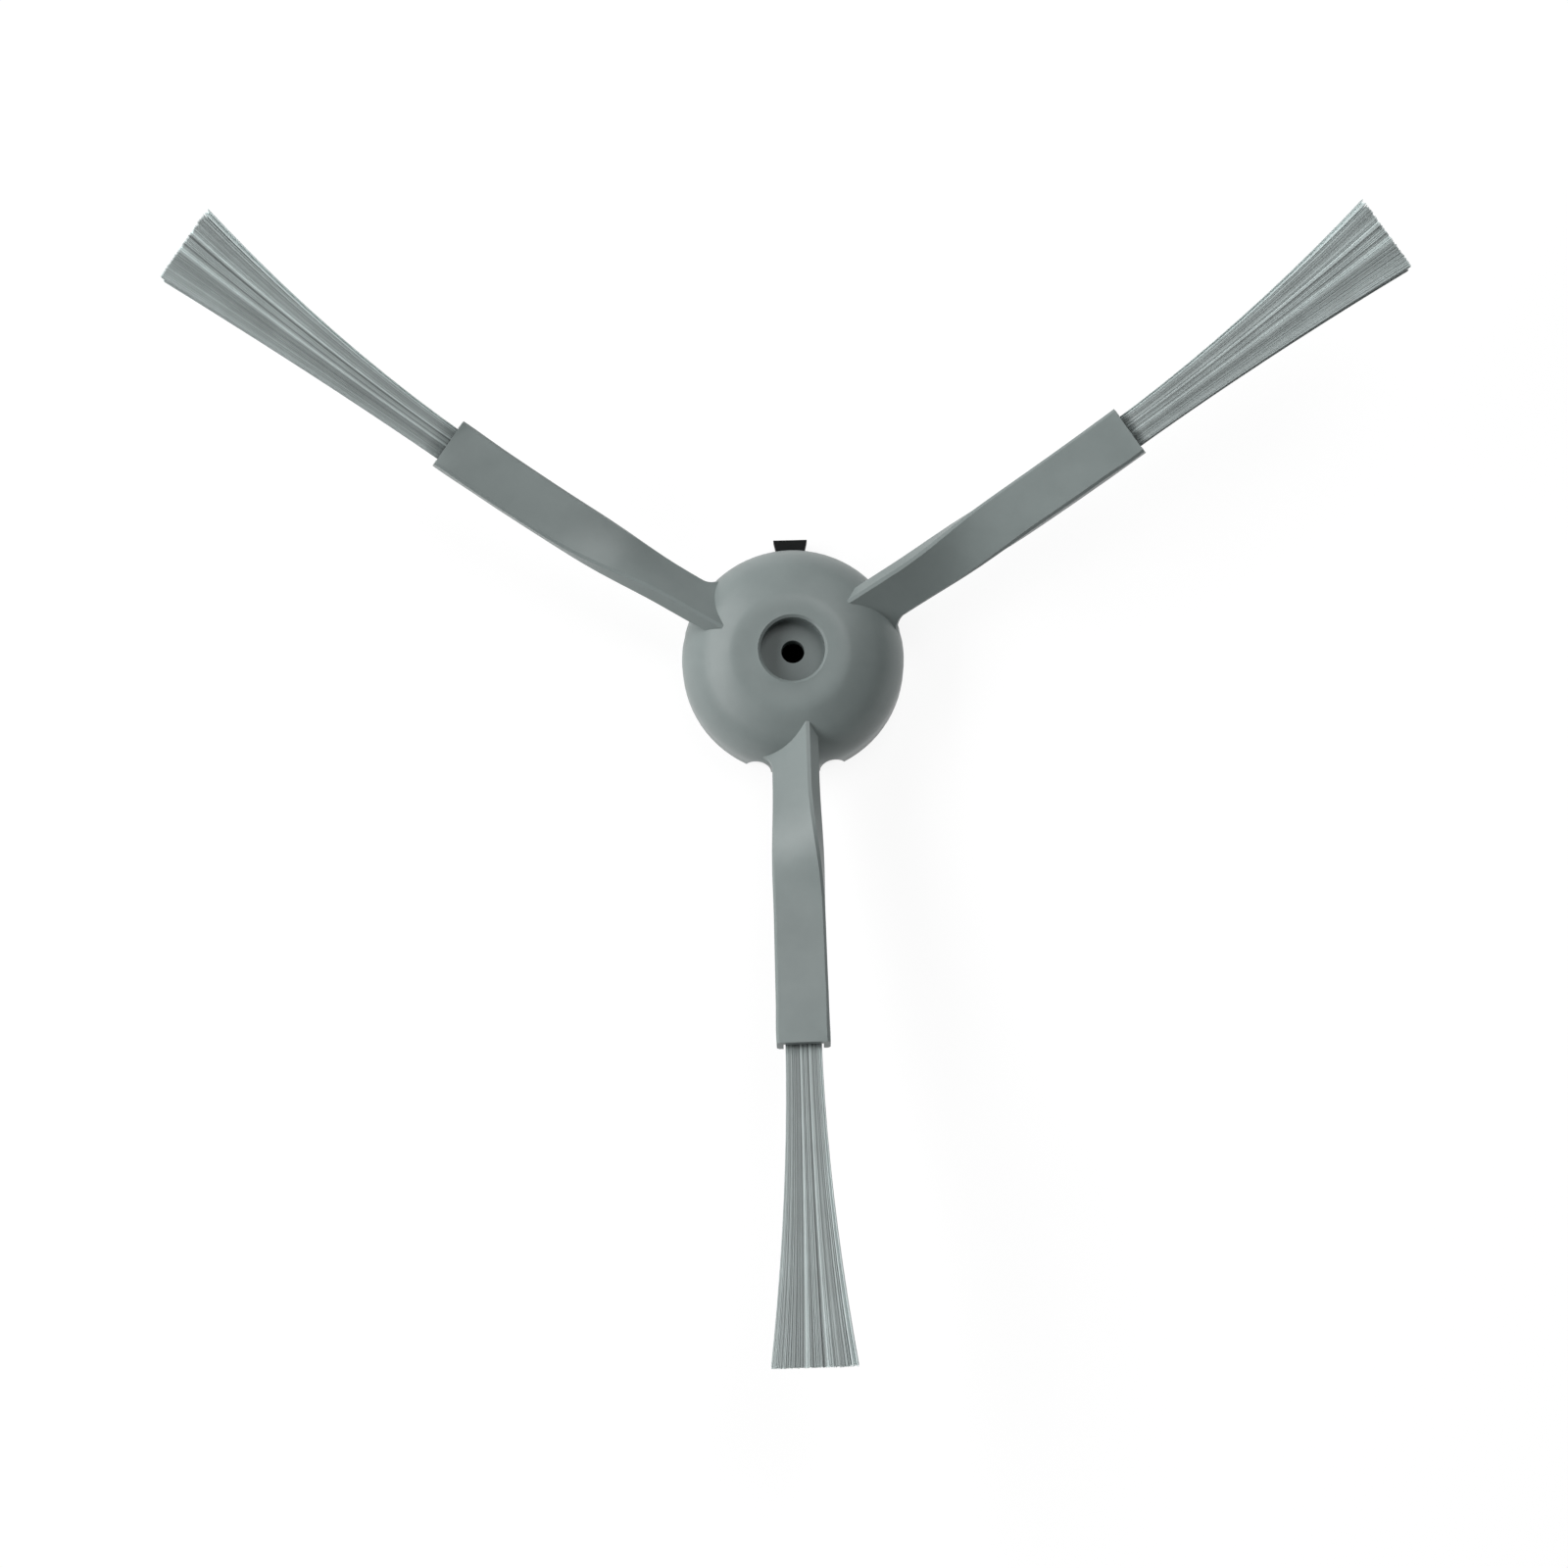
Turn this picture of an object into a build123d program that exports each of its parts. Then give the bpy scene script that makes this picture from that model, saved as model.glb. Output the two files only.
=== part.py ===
from build123d import *
from math import cos, pi, radians, sin, tan
import os

# Three-armed side brush of a robot vacuum cleaner, in millimetres and degrees.
# Its back, which meets the robot, lies on Z = 0, and its domed floor side is up.
# The origin is on the axis of rotation, and the black key of the core points to +Y.

# Hub of the soft grey moulding
HUB_DIAMETER = 25.0
HUB_HEIGHT = 11.1
CROWN_RADIUS = 19.0
SHOULDER_RADIUS = 6.2
SCREW_HOLE_DIAMETER = 2.6
RECESS_DIAMETER = 7.2
RECESS_DEPTH = 3.0
RECESS_EDGE = 0.3
SCREW_SEAT = 2.1

# Scallops that relieve the skirt on both sides of each arm, and lean outward
SCALLOP_RADIUS = 1.5
SCALLOP_REACH = 12.1
SCALLOP_LEAN = 15.0

# Arms: a flat strip that leaves the hub pitched like a propeller blade and untwists
ARM_REACH = 44.7
ARM_START = 7.5
ARM_START_HEIGHT = 6.9
ARM_ROOT_WIDTH = 5.4
ARM_TIP_WIDTH = 5.9
ARM_THICKNESS = 2.1
ARM_EDGE = 0.3
ARM_PITCH = 38.0
TWIST_START = 15.0
TWIST_END = 31.0
ARM_ROOT_SLOPE = 5.0
ARM_TIP_SLOPE = 13.2
ARM_STATIONS = 10
WEB_REACH = 13.2
WEB_FILLET = 1.9

# Direction of each arm, and the sideways set that the soft strip has taken at its end
ARMS = {"lower": (-90.0, 0.4), "right": (30.0, 3.2), "left": (150.0, -4.8)}

# Channel under the end of each arm, where its bristles are set
CHANNEL_ROOF = 0.7
CHANNEL_WALL = 0.75
CHANNEL_LENGTH = 7.0

# Bristles
BRISTLE_LENGTH = 35.0
BRISTLE_DIAMETER = 0.26
BRISTLE_COLUMNS = 11
BRISTLE_ROWS = 3
TUFT_ROOT_WIDTH = 3.9
TUFT_TIP_WIDTH = 9.4
TUFT_ROOT_THICKNESS = 1.1
TUFT_TIP_THICKNESS = 2.6
TUFT_FLARE = 1.9
TUFT_SPANS = 3
HEEL_SETBACK = 0.8
BRISTLE_GRIP = 1.6
BRISTLE_SIDES = 6

# Rigid black core, with the socket for the robot's drive shaft
CORE_FLANGE_DIAMETER = 19.6
CORE_FLANGE_THICKNESS = 2.0
CORE_SETBACK = 0.3
CORE_BOSS_DIAMETER = 11.6
SOCKET_WIDTH = 6.4
SOCKET_CORNER = 0.8
SOCKET_DEPTH = 4.6
KEY_REACH = 14.0
KEY_ROOT_WIDTH = 3.1
KEY_TIP_WIDTH = 3.8
FIT = 0.1

os.makedirs("parts", exist_ok=True)

hub_radius = HUB_DIAMETER / 2
core_top = HUB_HEIGHT - RECESS_DEPTH - SCREW_SEAT - FIT
flange_top = CORE_SETBACK + CORE_FLANGE_THICKNESS
arm_length = ARM_REACH - ARM_START
root_half_width = (ARM_ROOT_WIDTH * cos(radians(ARM_PITCH)) + ARM_THICKNESS * sin(radians(ARM_PITCH))) / 2
scallop_offset = root_half_width + SCALLOP_RADIUS
web_length = WEB_REACH - ARM_START
web_width = ARM_ROOT_WIDTH / 2 + WEB_FILLET
channel_width = ARM_TIP_WIDTH - 2 * CHANNEL_WALL
heel_width = channel_width - 2 * FIT
heel_thickness = ARM_THICKNESS - CHANNEL_ROOF - FIT
heel_centre = (heel_thickness - ARM_THICKNESS) / 2


def arm_plane(arm, run, pitch=0.0):
    """Plane across an arm or its tuft, a given run from the start of the arm.

    Its Z points outward, its X to the counter-clockwise edge and its Y up.
    """
    direction, sideways_set = ARMS[arm]
    on_arm = min(run, arm_length)
    past_arm = run - on_arm
    turn = sideways_set * run / arm_length
    slope = ARM_ROOT_SLOPE + (ARM_TIP_SLOPE - ARM_ROOT_SLOPE) * on_arm / arm_length
    mean_slope = (ARM_ROOT_SLOPE + slope) / 2
    rise = on_arm * tan(radians(mean_slope)) + past_arm * tan(radians(ARM_TIP_SLOPE))
    start = Vector(ARM_START, 0, ARM_START_HEIGHT).rotate(Axis.Z, direction)
    step = Vector(run, 0, rise).rotate(Axis.Z, direction + turn / 2)
    outward = Vector(cos(radians(slope)), 0, sin(radians(slope))).rotate(Axis.Z, direction + turn)
    level = Vector(0, 1, 0).rotate(Axis.Z, direction + turn)
    up = outward.cross(level)
    across = level * cos(radians(pitch)) + up * sin(radians(pitch))
    return Plane(origin=start + step, x_dir=across, z_dir=outward)


def arm_pitch(run):
    """Pitch of the strip: full as far as the start of the twist, and none after its end."""
    share = (ARM_START + run - TWIST_START) / (TWIST_END - TWIST_START)
    return ARM_PITCH * (1 + cos(pi * min(max(share, 0), 1))) / 2


# Hub and arms: one moulding in soft grey elastomer
with BuildPart() as brush_body:
    with BuildSketch(Plane.XZ):
        Rectangle(hub_radius, HUB_HEIGHT, align=Align.MIN)
        with Locations((0, HUB_HEIGHT - CROWN_RADIUS)):
            Circle(CROWN_RADIUS, mode=Mode.INTERSECT)
        fillet(vertices().sort_by_distance((hub_radius, HUB_HEIGHT))[0], SHOULDER_RADIUS)
    revolve(axis=Axis.Z)

    # Scallops beside the roots of the arms
    for direction, _ in ARMS.values():
        lean = Vector(sin(radians(SCALLOP_LEAN)), 0, cos(radians(SCALLOP_LEAN))).rotate(Axis.Z, direction)
        for offset in (-scallop_offset, scallop_offset):
            foot = Vector(SCALLOP_REACH, offset, 0).rotate(Axis.Z, direction)
            with BuildSketch(Plane(origin=foot - lean * SCALLOP_RADIUS, z_dir=lean)):
                Circle(SCALLOP_RADIUS)
            extrude(amount=HUB_HEIGHT, mode=Mode.SUBTRACT)

    # Arms, each with a web along the low edge of its root and a channel under its end
    for arm in ARMS:
        for station in range(ARM_STATIONS):
            share = station / (ARM_STATIONS - 1)
            run = arm_length * share
            width = ARM_ROOT_WIDTH + (ARM_TIP_WIDTH - ARM_ROOT_WIDTH) * share
            with BuildSketch(arm_plane(arm, run, arm_pitch(run))):
                Rectangle(width, ARM_THICKNESS)
                chamfer(vertices(), ARM_EDGE)
        loft()
        web_end = arm_plane(arm, web_length, ARM_PITCH)
        with BuildPart():
            with BuildSketch(Plane(origin=web_end.origin, x_dir=web_end.x_dir, z_dir=web_end.y_dir)):
                with BuildLine():
                    CenterArc((-web_width, 0), WEB_FILLET, 0, 90)
                    Polyline(
                        (-web_width, WEB_FILLET),
                        (-web_width, web_length),
                        (0, web_length),
                        (0, 0),
                        (WEB_FILLET - web_width, 0),
                    )
                make_face()
            extrude(amount=ARM_THICKNESS / 2, both=True)
            chamfer(edges().filter_by(GeomType.CIRCLE), ARM_EDGE)
        with BuildSketch(arm_plane(arm, arm_length)):
            with Locations((0, ARM_THICKNESS / 2 - CHANNEL_ROOF)):
                Rectangle(channel_width, 2 * ARM_THICKNESS, align=(Align.CENTER, Align.MAX))
        extrude(amount=-CHANNEL_LENGTH, mode=Mode.SUBTRACT)

    # Screw recess and hole
    with Locations((0, 0, HUB_HEIGHT)):
        CounterBoreHole(SCREW_HOLE_DIAMETER / 2, RECESS_DIAMETER / 2, RECESS_DEPTH)
    chamfer(edges().filter_by(GeomType.CIRCLE).group_by(Axis.Z)[-1].sort_by(SortBy.RADIUS)[0], RECESS_EDGE)

    # Cavity for the core, and the notch in the skirt for its key
    with BuildSketch():
        Circle(CORE_FLANGE_DIAMETER / 2 + FIT)
    extrude(amount=flange_top + FIT, mode=Mode.SUBTRACT)
    with BuildSketch():
        Circle(CORE_BOSS_DIAMETER / 2 + FIT)
    extrude(amount=core_top + FIT, mode=Mode.SUBTRACT)
    with BuildSketch():
        with BuildLine():
            Polyline(
                (KEY_ROOT_WIDTH / 2 + FIT, 0),
                (KEY_ROOT_WIDTH / 2 + FIT, hub_radius),
                (KEY_TIP_WIDTH / 2 + FIT, KEY_REACH),
                (-KEY_TIP_WIDTH / 2 - FIT, KEY_REACH),
                (-KEY_ROOT_WIDTH / 2 - FIT, hub_radius),
                (-KEY_ROOT_WIDTH / 2 - FIT, 0),
                close=True,
            )
        make_face()
    extrude(amount=flange_top + FIT, mode=Mode.SUBTRACT)

brush_body.part.label = "brush_body"
export_step(brush_body.part, "parts/brush_body.step")


# Core: one rigid black moulding, seated in the back of the hub
with BuildPart() as drive_core:
    with BuildSketch(Plane.XY.offset(CORE_SETBACK)):
        Circle(CORE_FLANGE_DIAMETER / 2)
        with BuildLine():
            Polyline(
                (KEY_ROOT_WIDTH / 2, 0),
                (KEY_ROOT_WIDTH / 2, hub_radius),
                (KEY_TIP_WIDTH / 2, KEY_REACH),
                (-KEY_TIP_WIDTH / 2, KEY_REACH),
                (-KEY_ROOT_WIDTH / 2, hub_radius),
                (-KEY_ROOT_WIDTH / 2, 0),
                close=True,
            )
        make_face()
    extrude(amount=CORE_FLANGE_THICKNESS)
    with BuildSketch(Plane.XY.offset(CORE_SETBACK)):
        Circle(CORE_BOSS_DIAMETER / 2)
    extrude(amount=core_top - CORE_SETBACK)
    with BuildSketch(Plane.XY.offset(CORE_SETBACK)):
        RectangleRounded(SOCKET_WIDTH, SOCKET_WIDTH, SOCKET_CORNER)
    extrude(amount=SOCKET_DEPTH, mode=Mode.SUBTRACT)
    with Locations((0, 0, core_top)):
        Hole(SCREW_HOLE_DIAMETER / 2)

drive_core.part.label = "drive_core"
export_step(drive_core.part, "parts/drive_core.step")


# Tufts: nylon filaments fused into a flat heel, which is set in the channel of an arm
for arm, (_, sideways_set) in ARMS.items():
    with BuildPart() as tuft:
        with BuildSketch(Plane.XY.offset(-HEEL_SETBACK)):
            with Locations((0, heel_centre)):
                Rectangle(heel_width, heel_thickness)
        extrude(amount=-(CHANNEL_LENGTH - HEEL_SETBACK - FIT))
        filaments = []
        for column in range(BRISTLE_COLUMNS):
            for row in range(BRISTLE_ROWS):
                upward = (row + 0.5) / BRISTLE_ROWS - 0.5
                sideways = (column + 0.5 + upward) / BRISTLE_COLUMNS - 0.5
                sections = []
                for span in range(TUFT_SPANS + 1):
                    flare = (span / TUFT_SPANS) ** TUFT_FLARE
                    width = TUFT_ROOT_WIDTH + (TUFT_TIP_WIDTH - TUFT_ROOT_WIDTH) * flare
                    thickness = TUFT_ROOT_THICKNESS + (TUFT_TIP_THICKNESS - TUFT_ROOT_THICKNESS) * flare
                    run = (BRISTLE_LENGTH + BRISTLE_GRIP) * span / TUFT_SPANS - BRISTLE_GRIP
                    bend = run * tan(radians(sideways_set * run / arm_length / 2))
                    with BuildSketch(Plane.XY.offset(run), mode=Mode.PRIVATE) as section:
                        with Locations((sideways * width + bend, heel_centre + upward * thickness)):
                            RegularPolygon(BRISTLE_DIAMETER / 2, BRISTLE_SIDES)
                    sections.append(section.sketch)
                filaments.append(loft(sections, ruled=True, mode=Mode.PRIVATE))
        add(filaments)

    tuft.part.location = arm_plane(arm, arm_length).location
    tuft.part.label = "bristle_tuft_" + arm
    export_step(tuft.part, "parts/bristle_tuft_" + arm + ".step")
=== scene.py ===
from math import cos, pi, radians, sin, sqrt, tan
from random import Random

import bmesh
import bpy
from mathutils import Matrix, Vector


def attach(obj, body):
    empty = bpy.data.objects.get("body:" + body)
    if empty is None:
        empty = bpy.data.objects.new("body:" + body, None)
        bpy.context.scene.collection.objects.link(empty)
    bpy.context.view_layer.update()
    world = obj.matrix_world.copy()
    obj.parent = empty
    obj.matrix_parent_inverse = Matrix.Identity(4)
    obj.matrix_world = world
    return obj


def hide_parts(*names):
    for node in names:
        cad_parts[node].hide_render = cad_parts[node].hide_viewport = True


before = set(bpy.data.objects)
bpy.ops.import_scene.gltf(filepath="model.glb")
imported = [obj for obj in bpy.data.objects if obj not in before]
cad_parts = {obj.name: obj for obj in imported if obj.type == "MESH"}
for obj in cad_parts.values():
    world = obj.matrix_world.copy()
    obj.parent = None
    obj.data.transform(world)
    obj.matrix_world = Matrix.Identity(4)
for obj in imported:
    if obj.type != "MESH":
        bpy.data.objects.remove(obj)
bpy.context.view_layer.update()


# Drive core: the rigid insert that the robot's shaft turns. It is injection moulded in black
# nylon with a fine spark-eroded face, and sits in the back of the hub, with its key in the
# notch of the skirt.
MM = 0.001
BLACK_LOW = (0.004, 0.005, 0.005)
BLACK_HIGH = (0.009, 0.010, 0.010)
BLACK_TONE_SPAN = (0.35, 0.65)
CORE_MOTTLE = 3 * MM
CORE_MOTTLE_DETAIL = 4
CORE_GRAIN = 0.14 * MM
CORE_GRAIN_DETAIL = 3
CORE_GRAIN_DEPTH = 0.015 * MM
CORE_GRAIN_STRENGTH = 0.6
CORE_NOISE_ROUGHNESS = 0.6
CORE_ROUGHNESS = (0.38, 0.55)
CORE_SPECULAR = 0.12

# Middle part of a noise, over which a roughness goes from its low to its high value
NOISE_MIDDLE = (0.3, 0.7)


def add_node(material, kind, inputs=(), **settings):
    """A node of a material's tree, with its settings and its unlinked inputs."""
    made = material.node_tree.nodes.new(kind)
    for name, value in settings.items():
        setattr(made, name, value)
    for name, value in dict(inputs).items():
        made.inputs[name].default_value = value
    return made


def link(material, source, output, target, socket):
    """Joins an output of one node to an input of another."""
    material.node_tree.links.new(source.outputs[output], target.inputs[socket])


def noise_over(material, grain, detail, roughness):
    """Noise fixed to the object, with lumps of about one grain, a length in metres."""
    place = add_node(material, "ShaderNodeTexCoord")
    noise = add_node(material, "ShaderNodeTexNoise",
                     {"Scale": 1 / grain, "Detail": detail, "Roughness": roughness})
    link(material, place, "Object", noise, "Vector")
    return noise


def map_range(material, source, output, start, end):
    """A value that goes from one pair of limits, start, to another, end."""
    span = add_node(material, "ShaderNodeMapRange",
                    {"From Min": start[0], "From Max": start[1], "To Min": end[0], "To Max": end[1]})
    link(material, source, output, span, "Value")
    return span


def two_tones(material, noise, dark, light, span):
    """A ramp from a dark to a light colour over the middle of a noise."""
    ramp = add_node(material, "ShaderNodeValToRGB")
    for stop, position, colour in zip(ramp.color_ramp.elements, span, (dark, light)):
        stop.position = position
        stop.color = (*colour, 1)
    link(material, noise, "Fac", ramp, "Fac")
    return ramp


def roughness_from(material, noise, shader, limits):
    """Roughness that wanders between two values with a noise."""
    span = map_range(material, noise, "Fac", NOISE_MIDDLE, limits)
    link(material, span, "Result", shader, "Roughness")


def grain_from(material, noise, shader, depth, strength):
    """Bump of a given depth, in metres, from a noise."""
    bump = add_node(material, "ShaderNodeBump", {"Strength": strength, "Distance": depth})
    link(material, noise, "Fac", bump, "Height")
    link(material, bump, "Normal", shader, "Normal")


def new_material(name):
    """An empty node material and its principled shader."""
    material = bpy.data.materials.new(name)
    material.use_nodes = True
    return material, material.node_tree.nodes["Principled BSDF"]


black_nylon, shader = new_material("black_nylon")
mottle = noise_over(black_nylon, CORE_MOTTLE, CORE_MOTTLE_DETAIL, CORE_NOISE_ROUGHNESS)
tones = two_tones(black_nylon, mottle, BLACK_LOW, BLACK_HIGH, BLACK_TONE_SPAN)
link(black_nylon, tones, "Color", shader, "Base Color")
grain = noise_over(black_nylon, CORE_GRAIN, CORE_GRAIN_DETAIL, CORE_NOISE_ROUGHNESS)
roughness_from(black_nylon, grain, shader, CORE_ROUGHNESS)
shader.inputs["Specular IOR Level"].default_value = CORE_SPECULAR
grain_from(black_nylon, grain, shader, CORE_GRAIN_DEPTH, CORE_GRAIN_STRENGTH)

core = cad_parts["drive_core"]
core.data.materials.clear()
core.data.materials.append(black_nylon)


# Brush body: hub and arms are one soft moulding in grey thermoplastic rubber, shot over the
# core. Its face is matte and a little waxy, with a faint cloudiness from the pigment. The top
# of its dome is flat round the screw recess, whose floor is darkened with painted shade.
GREY_LOW = (0.212, 0.247, 0.2435)
GREY_HIGH = (0.236, 0.274, 0.270)
GREY_TONE_SPAN = (0.35, 0.65)
BODY_CLOUD = 6 * MM
BODY_CLOUD_DETAIL = 5
BODY_CLOUD_ROUGHNESS = 0.55
BODY_GRAIN = 0.10 * MM
BODY_GRAIN_DETAIL = 3
BODY_GRAIN_ROUGHNESS = 0.6
BODY_GRAIN_DEPTH = 0.010 * MM
BODY_GRAIN_STRENGTH = 0.5
BODY_ROUGHNESS = (0.36, 0.46)
BODY_SPECULAR = 0.42
RECESS_FLOOR = (0, 0, 8.1 * MM)
RECESS_MOUTH = 3.9 * MM
# Painted shade: the base colour is darkened round the recess floor, over this reach and between these
# levels, where little light gets in
PAINTED_SHADE_REACH = (3.3 * MM, 4.2 * MM)
PAINTED_SHADE_LEVELS = (0.67, 1.0)
CROWN_CENTRE = Vector((0, 0, -7.9 * MM))
CROWN_RADIUS = 19.0 * MM
CROWN_REACH = 9.4 * MM
FLAT_MIDDLE = Vector((-0.3 * MM, -0.5 * MM))
FLAT_EDGES = (3.4 * MM, 7.0 * MM)
FLAT_DROP = 0.68 * MM
FLAT_CUTS = 3
SLOPE_STEP = 0.02 * MM

# How near a vertex has to lie to the crown's sphere, to the recess mouth and to the recess floor
CROWN_TOLERANCE = 0.04 * MM
MOUTH_TOLERANCE = 0.05 * MM
RECESS_FLOOR_TOLERANCE = 0.1 * MM

grey_rubber, shader = new_material("grey_rubber")
cloud = noise_over(grey_rubber, BODY_CLOUD, BODY_CLOUD_DETAIL, BODY_CLOUD_ROUGHNESS)
tones = two_tones(grey_rubber, cloud, GREY_LOW, GREY_HIGH, GREY_TONE_SPAN)
place = add_node(grey_rubber, "ShaderNodeTexCoord")
from_floor = add_node(grey_rubber, "ShaderNodeVectorMath", {1: RECESS_FLOOR}, operation="DISTANCE")
link(grey_rubber, place, "Object", from_floor, 0)
# Painted shade on the recess floor, scaled into the rubber's colour
recess_painted_shade = map_range(grey_rubber, from_floor, "Value", PAINTED_SHADE_REACH, PAINTED_SHADE_LEVELS)
shaded_tones = add_node(grey_rubber, "ShaderNodeVectorMath", operation="SCALE")
link(grey_rubber, tones, "Color", shaded_tones, 0)
link(grey_rubber, recess_painted_shade, "Result", shaded_tones, "Scale")
link(grey_rubber, shaded_tones, "Vector", shader, "Base Color")
grain = noise_over(grey_rubber, BODY_GRAIN, BODY_GRAIN_DETAIL, BODY_GRAIN_ROUGHNESS)
roughness_from(grey_rubber, grain, shader, BODY_ROUGHNESS)
shader.inputs["Specular IOR Level"].default_value = BODY_SPECULAR
grain_from(grey_rubber, grain, shader, BODY_GRAIN_DEPTH, BODY_GRAIN_STRENGTH)


def flat_drop(place):
    """How far the dome is let down at a place, to be flat round the recess."""
    inner, outer = FLAT_EDGES
    share = min(max(((place.xy - FLAT_MIDDLE).length - inner) / (outer - inner), 0), 1)
    return FLAT_DROP * (1 - share * share * (3 - 2 * share))


def crown_height(place):
    """Height of the dome's top at a place."""
    sphere_height = CROWN_CENTRE.z + sqrt(CROWN_RADIUS ** 2 - place.xy.length_squared)
    return sphere_height - flat_drop(place)


def crown_normal(place):
    """Direction that the dome's top faces at a place."""
    across, along = Vector((SLOPE_STEP, 0, 0)), Vector((0, SLOPE_STEP, 0))
    tilt_x = (crown_height(place - across) - crown_height(place + across)) / (2 * SLOPE_STEP)
    tilt_y = (crown_height(place - along) - crown_height(place + along)) / (2 * SLOPE_STEP)
    return Vector((tilt_x, tilt_y, 1)).normalized()


def on_crown(vertex):
    """Whether a vertex of the moulding lies on the dome's top, outside the recess."""
    off_sphere = abs((vertex.co - CROWN_CENTRE).length - CROWN_RADIUS)
    outside_recess = RECESS_MOUTH - MOUTH_TOLERANCE < vertex.co.xy.length < CROWN_REACH
    return off_sphere < CROWN_TOLERANCE and outside_recess


def in_recess(vertex):
    """Whether a vertex lies in the recess, above its floor."""
    above_floor = vertex.co.z > RECESS_FLOOR[2] + RECESS_FLOOR_TOLERANCE
    return above_floor and vertex.co.xy.length < RECESS_MOUTH + MOUTH_TOLERANCE


def let_down_crown(mesh):
    """Lets the dome's top and the recess wall down to the flat, and lists the top's faces by number."""
    flat_reach = FLAT_EDGES[1] + FLAT_MIDDLE.length
    flat_faces = [face for face in mesh.faces
                  if all(on_crown(vertex) and vertex.co.xy.length < flat_reach for vertex in face.verts)]
    flat_edges = list(dict.fromkeys(edge for face in flat_faces for edge in face.edges))
    bmesh.ops.subdivide_edges(mesh, edges=flat_edges, cuts=FLAT_CUTS, use_grid_fill=True)
    crown_faces = [face for face in mesh.faces if all(on_crown(vertex) for vertex in face.verts)]
    crown_vertices = {vertex for face in crown_faces for vertex in face.verts}
    for vertex in mesh.verts:
        if vertex in crown_vertices:
            if vertex.co.xy.length < flat_reach:
                vertex.co.z = crown_height(vertex.co)
        elif in_recess(vertex):
            vertex.co.z -= flat_drop(vertex.co)
    mesh.faces.index_update()
    return [face.index for face in crown_faces]


def moulding_normals(data, source, crown_faces):
    """Shading normals: the source's own on each face that is as it was, and the dome's on its top."""
    normals = [Vector(corner.vector) for corner in data.corner_normals]
    for face in source.polygons:
        copy = data.polygons[face.index]
        if list(copy.vertices) == list(face.vertices):
            for old, new in zip(face.loop_indices, copy.loop_indices):
                normals[new] = Vector(source.corner_normals[old].vector)
    for index in crown_faces:
        for corner in data.polygons[index].loop_indices:
            normals[corner] = crown_normal(data.vertices[data.loops[corner].vertex_index].co)
    return normals


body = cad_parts["brush_body"]
mesh = bmesh.new()
mesh.from_mesh(body.data)
crown_faces = let_down_crown(mesh)
data = bpy.data.meshes.new("soft_moulding")
mesh.to_mesh(data)
mesh.free()
data.normals_split_custom_set(moulding_normals(data, body.data, crown_faces))
data.materials.append(grey_rubber)
moulding = bpy.data.objects.new("soft_moulding", data)
bpy.context.scene.collection.objects.link(moulding)
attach(moulding, "root")
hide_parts("brush_body")


# Bristle tufts: fine grey nylon filaments, melted together into a flat heel that is set in the
# channel under the end of each arm. They fan out in locks, and are cut off at a slight slant.
ARM_START = 7.5 * MM
ARM_START_HEIGHT = 6.9 * MM
ARM_LENGTH = 37.2 * MM
ARM_SLOPES = (radians(5.0), radians(13.2))
ARM_THICKNESS = 2.1 * MM
HEEL_WIDTH = 4.2 * MM
HEEL_THICKNESS = 1.3 * MM
HEEL_LENGTH = 6.1 * MM
HEEL_SETBACK = 0.8 * MM
HEEL_HEIGHT = (HEEL_THICKNESS - ARM_THICKNESS) / 2
HEEL_EDGE = 0.2 * MM
HEEL_EDGE_SEGMENTS = 2
HEEL_EDGE_PROFILE = 0.5
HEEL_SHADE = 0.9
FILAMENT_COLUMNS = 96
FILAMENT_LAYERS = 6
FILAMENT_DIAMETER = 0.13 * MM
FILAMENT_SIDES = 5
FILAMENT_SPANS = 10
FILAMENT_GRIP = 1.6 * MM
FILAMENT_LENGTHS = {"lower": 36.55 * MM, "right": 35.85 * MM, "left": 36.65 * MM}
LENGTH_SPREAD = 0.12 * MM
CUT_SLANT = 0.65 * MM
ROOT_FAN = (3.9 * MM, 1.0 * MM)
TIP_FAN = (9.4 * MM, 1.5 * MM)
FLARE = 1.9
WANDER = 0.008 * MM
PLACE_JITTER = (0.3, 0.7)
STREAK_SHADES = (0.84, 1.16)
TUFT_SEED = 7
# Painted light: the filaments' colour is lightened along the run to the tip, and much more on the tip's
# cap, where the spread tips and their cut ends get little light
TIP_PAINTED_LIGHT_RISE = 0.35
TIP_LENGTH = 0.2 * MM
TIP_TAPER = 0.6
TIP_CAP_PAINTED_LIGHT = 2.2
NYLON_LOW = (0.284, 0.319, 0.317)
NYLON_HIGH = (0.333, 0.375, 0.373)
NYLON_TONE_SPAN = (0.3, 0.7)
NYLON_STREAK = 5 * MM
NYLON_STREAK_DETAIL = 2
NYLON_STREAK_ROUGHNESS = 0.5
NYLON_ROUGHNESS = (0.4, 0.55)

# Arms: direction, and how far each is set sideways along its length, both in degrees
ARMS = {"lower": (-90.0, 0.4), "right": (30.0, 3.2), "left": (150.0, -4.8)}

# Side of each fan that is loose: 1 for its counter-clockwise edge and -1 for the other one
LOOSE_SIDES = {"lower": 1, "right": 1, "left": -1}

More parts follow.
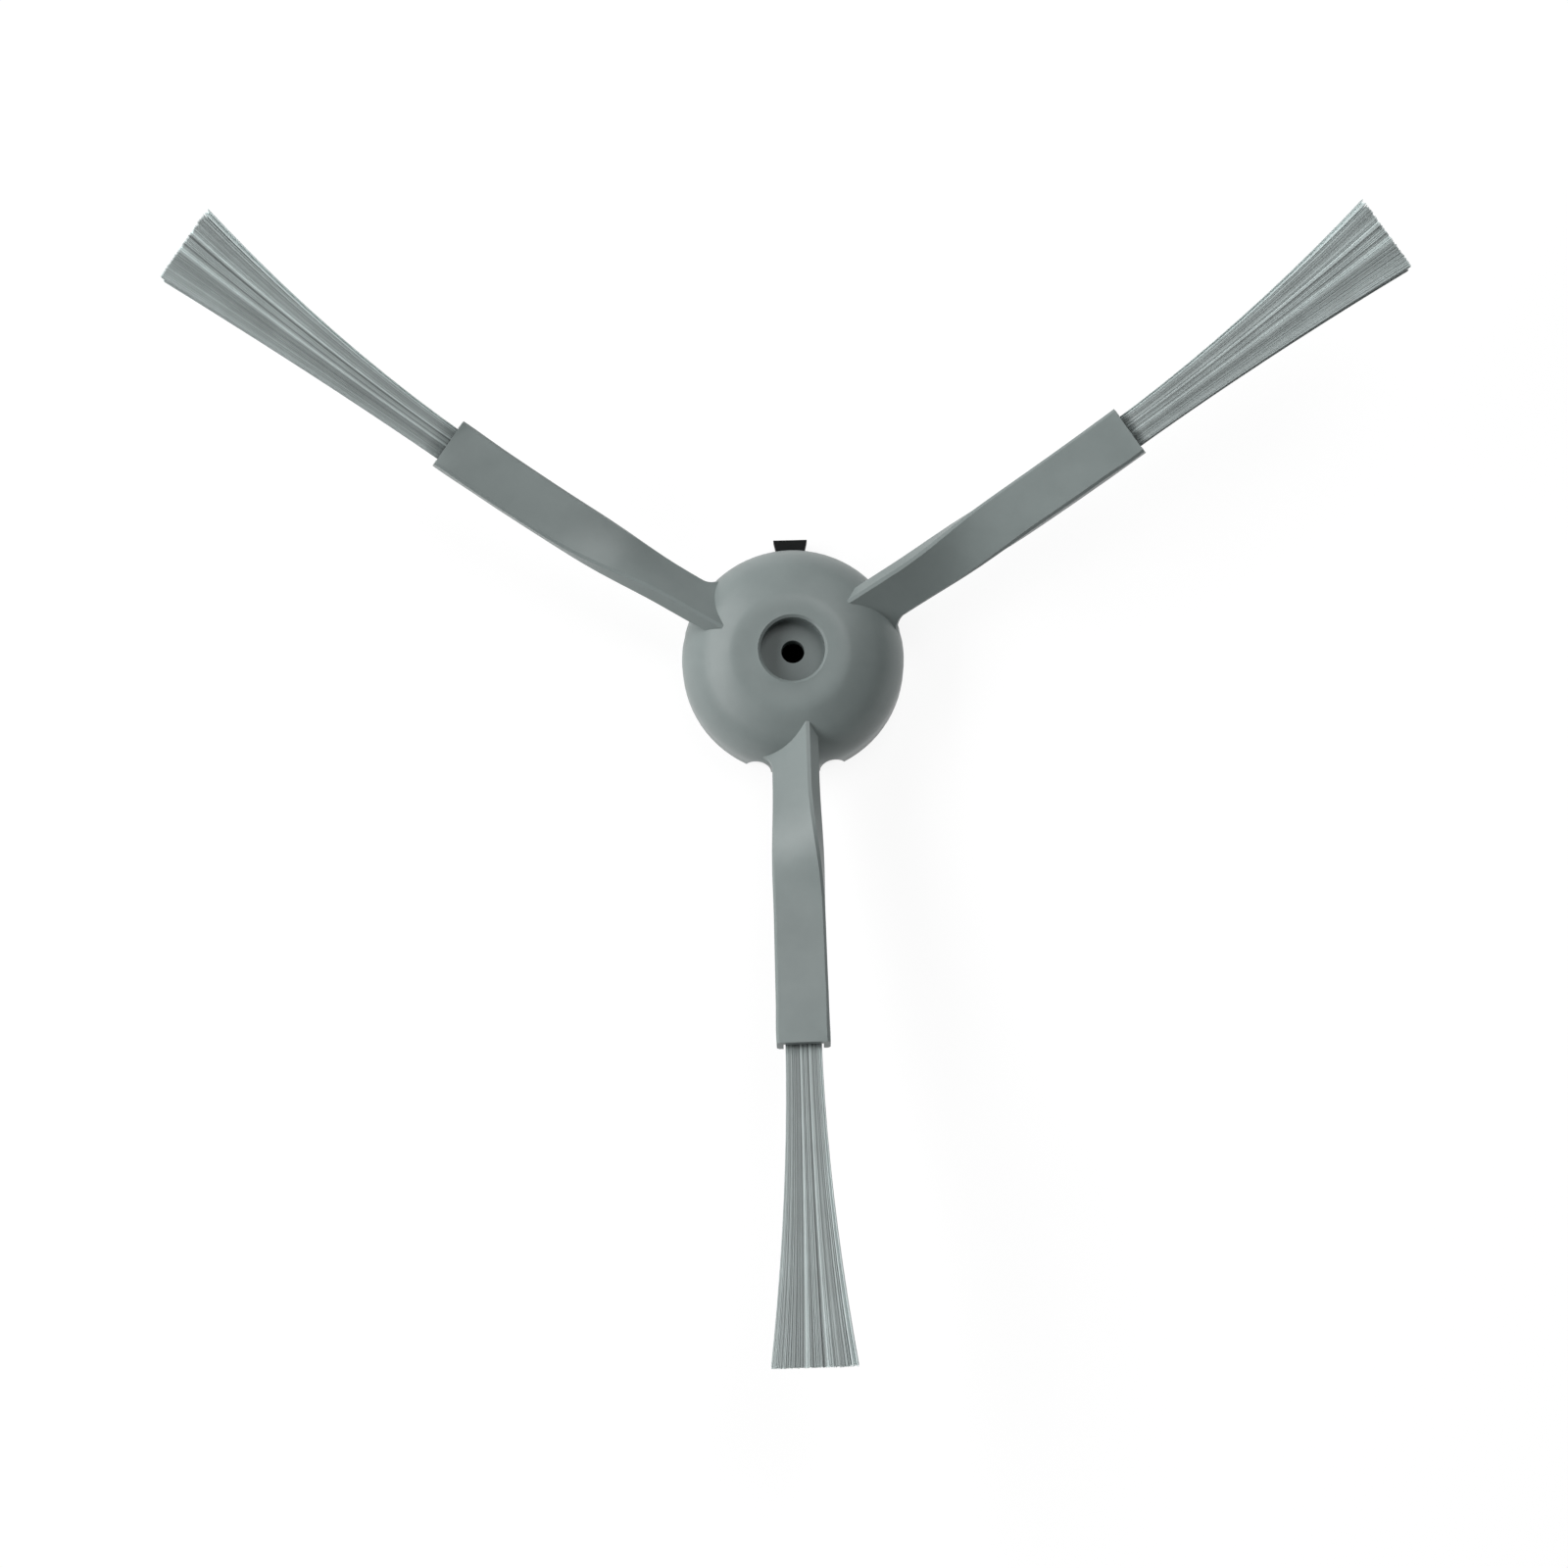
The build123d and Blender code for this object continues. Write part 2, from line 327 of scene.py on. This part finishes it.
# Locks of the fan: where they lie across it, from -0.5 to 0.5, half their width, and their shade.
# The shades are partly the locks' own tone and partly painted light: the narrow pale lines are
# painted highlight for light caught by proud locks, the narrow dark lines painted shadow in the
# gaps between them, and the pale loose edge painted light on the thin fringe.
LOCK_TONES_AND_PAINTED_LIGHT = [
    (-0.46, 0.04, 1.15),
    (-0.24, 0.10, 0.80),
    (-0.08, 0.020, 1.55),
    (-0.015, 0.016, 0.55),
    (0.10, 0.016, 0.55),
    (0.15, 0.018, 1.55),
    (0.285, 0.055, 0.82),
    (0.38, 0.03, 1.12),
    (0.46, 0.05, 1.7),
]

# How full the fan is, at steps across it: it thins out to its edges
FULLNESS = [(-0.5, 0.4), (-0.45, 1.0), (0.36, 1.0), (0.42, 0.45), (0.5, 0.2)]


def arm_end(direction, sideways_set):
    """Frame at the end of an arm: X to its counter-clockwise edge, Y up and Z outward."""
    turn = radians(direction)
    half_set = radians(sideways_set) / 2
    rise = ARM_LENGTH * tan(sum(ARM_SLOPES) / 2)
    start = Matrix.Rotation(turn, 3, "Z") @ Vector((ARM_START, 0, ARM_START_HEIGHT))
    step = Matrix.Rotation(turn + half_set, 3, "Z") @ Vector((ARM_LENGTH, 0, rise))
    heading = Matrix.Rotation(turn + 2 * half_set, 3, "Z")
    outward = heading @ Vector((cos(ARM_SLOPES[1]), 0, sin(ARM_SLOPES[1])))
    across = heading @ Vector((0, 1, 0))
    axes = Matrix((across, outward.cross(across), outward)).transposed().to_4x4()
    return Matrix.Translation(start + step) @ axes


def lock_tone_and_painted_light(across):
    """How light a filament is, from the lock that it lies in: its tone, with painted highlight and
    painted shade.
    """
    for centre, half_width, shade in LOCK_TONES_AND_PAINTED_LIGHT:
        if abs(across - centre) < half_width:
            return shade
    return 1.0


def fullness(across):
    """Share of the filaments that are present at a place across the fan."""
    for (left, low), (right, high) in zip(FULLNESS, FULLNESS[1:]):
        if across <= right:
            return low + (high - low) * (across - left) / (right - left)
    return high


def filament_path(across, upward, length, drift, sideways_set):
    """Points of a filament, from its grip in the heel to its cut tip, in the frame of the arm's end."""
    shares = [span / FILAMENT_SPANS for span in range(FILAMENT_SPANS)]
    path = []
    for share in shares + [1 - TIP_LENGTH / length, 1]:
        run = (length + FILAMENT_GRIP) * share - FILAMENT_GRIP
        flare = share ** FLARE
        bend = run * tan(radians(sideways_set) * run / ARM_LENGTH / 2)
        width = ROOT_FAN[0] + (TIP_FAN[0] - ROOT_FAN[0]) * flare
        depth = ROOT_FAN[1] + (TIP_FAN[1] - ROOT_FAN[1]) * flare
        bow = drift * share * sin(pi * share)
        path.append(Vector((across * width + bend + bow, HEEL_HEIGHT + upward * depth, run)))
    return path


def add_filament(mesh, shades, path, shade):
    """A thin round rod along a path, closed at both ends, with painted light that grows toward its
    tapered tip and is strongest on it.
    """
    rings = []
    for index, point in enumerate(path):
        at_tip = index == len(path) - 1
        radius = FILAMENT_DIAMETER / 2 * (TIP_TAPER if at_tip else 1)
        # Painted light: colour lightened along the filament and strongly on its tip
        light = TIP_CAP_PAINTED_LIGHT if at_tip else 1 + TIP_PAINTED_LIGHT_RISE * index / len(path)
        ring = []
        for side in range(FILAMENT_SIDES):
            angle = 2 * pi * side / FILAMENT_SIDES
            vertex = mesh.verts.new(point + Vector((cos(angle), sin(angle), 0)) * radius)
            vertex[shades] = shade * light
            ring.append(vertex)
        rings.append(ring)
    for near, far in zip(rings, rings[1:]):
        for side in range(FILAMENT_SIDES):
            after = (side + 1) % FILAMENT_SIDES
            face = mesh.faces.new((near[side], near[after], far[after], far[side]))
            face.smooth = True
    mesh.faces.new(reversed(rings[0]))
    mesh.faces.new(rings[-1])


def add_heel(mesh, shades):
    """The melted block that holds the filaments, with its edges rounded off."""
    middle = Vector((0, HEEL_HEIGHT, -HEEL_SETBACK - HEEL_LENGTH / 2))
    size = Matrix.Diagonal((HEEL_WIDTH, HEEL_THICKNESS, HEEL_LENGTH, 1))
    block = bmesh.ops.create_cube(mesh, size=1, matrix=Matrix.Translation(middle) @ size)
    for vertex in block["verts"]:
        vertex[shades] = HEEL_SHADE
    edges = list(dict.fromkeys(edge for vertex in block["verts"] for edge in vertex.link_edges))
    bmesh.ops.bevel(mesh, geom=edges, offset=HEEL_EDGE, segments=HEEL_EDGE_SEGMENTS,
                    affect="EDGES", profile=HEEL_EDGE_PROFILE)


def build_tuft(arm, material):
    """One tuft, in the channel of its arm."""
    direction, sideways_set = ARMS[arm]
    chance = Random(TUFT_SEED)
    mesh = bmesh.new()
    shades = mesh.verts.layers.float.new("shade")
    add_heel(mesh, shades)
    streaks = [chance.uniform(*STREAK_SHADES) for column in range(FILAMENT_COLUMNS)]
    for layer in range(FILAMENT_LAYERS):
        for column, streak in enumerate(streaks):
            place = (column + chance.uniform(*PLACE_JITTER)) / FILAMENT_COLUMNS - 0.5
            upward = (layer + chance.uniform(*PLACE_JITTER)) / FILAMENT_LAYERS - 0.5
            cut_back = chance.uniform(0, LENGTH_SPREAD)
            length = FILAMENT_LENGTHS[arm] - cut_back - CUT_SLANT * (0.5 - upward)
            drift = chance.gauss(0, WANDER)
            if chance.random() > fullness(place):
                continue
            path = filament_path(place * LOOSE_SIDES[arm], upward, length, drift, sideways_set)
            add_filament(mesh, shades, path, lock_tone_and_painted_light(place) * streak)
    name = "filaments_" + arm
    data = bpy.data.meshes.new(name)
    mesh.to_mesh(data)
    mesh.free()
    data.transform(arm_end(direction, sideways_set))
    data.materials.append(material)
    tuft = bpy.data.objects.new(name, data)
    bpy.context.scene.collection.objects.link(tuft)
    return tuft


grey_nylon, shader = new_material("grey_nylon")
# The shade attribute carries each filament's tone with its painted highlight, painted shade and painted
# light at the tip
lock = add_node(grey_nylon, "ShaderNodeAttribute", attribute_name="shade")
streaks = noise_over(grey_nylon, NYLON_STREAK, NYLON_STREAK_DETAIL, NYLON_STREAK_ROUGHNESS)
tones = two_tones(grey_nylon, streaks, NYLON_LOW, NYLON_HIGH, NYLON_TONE_SPAN)
tinted = add_node(grey_nylon, "ShaderNodeVectorMath", operation="SCALE")
link(grey_nylon, tones, "Color", tinted, 0)
link(grey_nylon, lock, "Fac", tinted, "Scale")
link(grey_nylon, tinted, "Vector", shader, "Base Color")
roughness_from(grey_nylon, streaks, shader, NYLON_ROUGHNESS)

for arm in ARMS:
    tuft = build_tuft(arm, grey_nylon)
    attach(tuft, "root")
    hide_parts("bristle_tuft_" + arm)


# Stage: a plain white floor just under the back of the brush. It shows white to the camera, keeps
# a soft shadow, and is painted dark under the hub, a painted shade where no light gets in.
FLOOR_SIZE = 6.0
FLOOR_DROP = 0.05 * MM
FLOOR_ROUGHNESS = 0.9
FLOOR_STRENGTH = 1.06

# Patch under the hub: its inner and outer radius, and what glow and base colour go from and to
# over it; the dark base colour inside is painted shade
CONTACT_PATCH = (10.0 * MM, 12.0 * MM)
FLOOR_GLOW = (0, 0.85)
FLOOR_PAINTED_SHADE = (0.01, 0.9)

white_floor, shader = new_material("white_floor")
shader.inputs["Roughness"].default_value = FLOOR_ROUGHNESS
glow = add_node(white_floor, "ShaderNodeEmission", {"Color": (1, 1, 1, 1), "Strength": FLOOR_STRENGTH})
rays = add_node(white_floor, "ShaderNodeLightPath")
seen = add_node(white_floor, "ShaderNodeMath", operation="MAXIMUM")
link(white_floor, rays, "Is Camera Ray", seen, 0)
link(white_floor, rays, "Is Glossy Ray", seen, 1)
place = add_node(white_floor, "ShaderNodeTexCoord")
from_axis = add_node(white_floor, "ShaderNodeVectorMath", operation="LENGTH")
link(white_floor, place, "Object", from_axis, 0)
open_floor = map_range(white_floor, from_axis, "Value", CONTACT_PATCH, FLOOR_GLOW)
# Painted shade: the floor's base colour goes near-black inside the patch under the hub
floor_colour_with_painted_shade = map_range(white_floor, from_axis, "Value", CONTACT_PATCH, FLOOR_PAINTED_SHADE)
link(white_floor, floor_colour_with_painted_shade, "Result", shader, "Base Color")
share = add_node(white_floor, "ShaderNodeMath", operation="MULTIPLY")
link(white_floor, seen, "Value", share, 0)
link(white_floor, open_floor, "Result", share, 1)
mixed = add_node(white_floor, "ShaderNodeMixShader")
link(white_floor, share, "Value", mixed, "Fac")
link(white_floor, shader, "BSDF", mixed, 1)
link(white_floor, glow, "Emission", mixed, 2)
link(white_floor, mixed, "Shader", white_floor.node_tree.nodes["Material Output"], "Surface")

bpy.ops.mesh.primitive_plane_add(size=FLOOR_SIZE, location=(0, 0, -FLOOR_DROP))
floor = bpy.context.object
floor.name = "floor"
floor.data.materials.append(white_floor)


# Light: a long soft box low on the left, a smaller one overhead, and a dim even surround. Each
# box has its bearing, its elevation, its distance and size in metres, and its power in watts.
BOXES = {
    "side_box": (radians(172), radians(36), 0.7, (1.2, 0.22), 6.0),
    "top_box": (radians(60), radians(57), 0.8, (0.5, 0.5), 2.6),
}
SURROUND = 0.07

for name, (bearing, elevation, distance, size, power) in BOXES.items():
    box_data = bpy.data.lights.new(name, "AREA")
    box_data.shape = "RECTANGLE"
    box_data.size, box_data.size_y = size
    box_data.energy = power
    box = bpy.data.objects.new(name, box_data)
    bpy.context.scene.collection.objects.link(box)
    toward = Vector((cos(bearing) * cos(elevation), sin(bearing) * cos(elevation), sin(elevation)))
    box.location = toward * distance
    box.rotation_euler = toward.to_track_quat("Z", "Y").to_euler()

world = bpy.data.worlds.new("surround")
world.use_nodes = True
world.node_tree.nodes["Background"].inputs["Color"].default_value = (1, 1, 1, 1)
world.node_tree.nodes["Background"].inputs["Strength"].default_value = SURROUND
bpy.context.scene.world = world
bpy.context.scene.view_settings.view_transform = "Standard"


# Camera: nearly straight down on the domed side, a little from the side of the lower arm. Its
# lens is long, so that the three arms keep their lengths.
AIM = Vector((-1.34 * MM, -13.61 * MM, 0))
CAMERA_DISTANCE = 549.4 * MM
CAMERA_TILT = radians(9.35)
CAMERA_ROLL = radians(-1.377)
SENSOR_WIDTH = 36.0
LENS = 111.7

camera_data = bpy.data.cameras.new("camera")
camera_data.sensor_width = SENSOR_WIDTH
camera_data.lens = LENS
camera = bpy.data.objects.new("camera", camera_data)
bpy.context.scene.collection.objects.link(camera)
turn = Matrix.Rotation(CAMERA_TILT, 4, "X") @ Matrix.Rotation(CAMERA_ROLL, 4, "Z")
back = turn @ Vector((0, 0, CAMERA_DISTANCE))
camera.matrix_world = Matrix.Translation(AIM + back) @ turn
bpy.context.scene.camera = camera
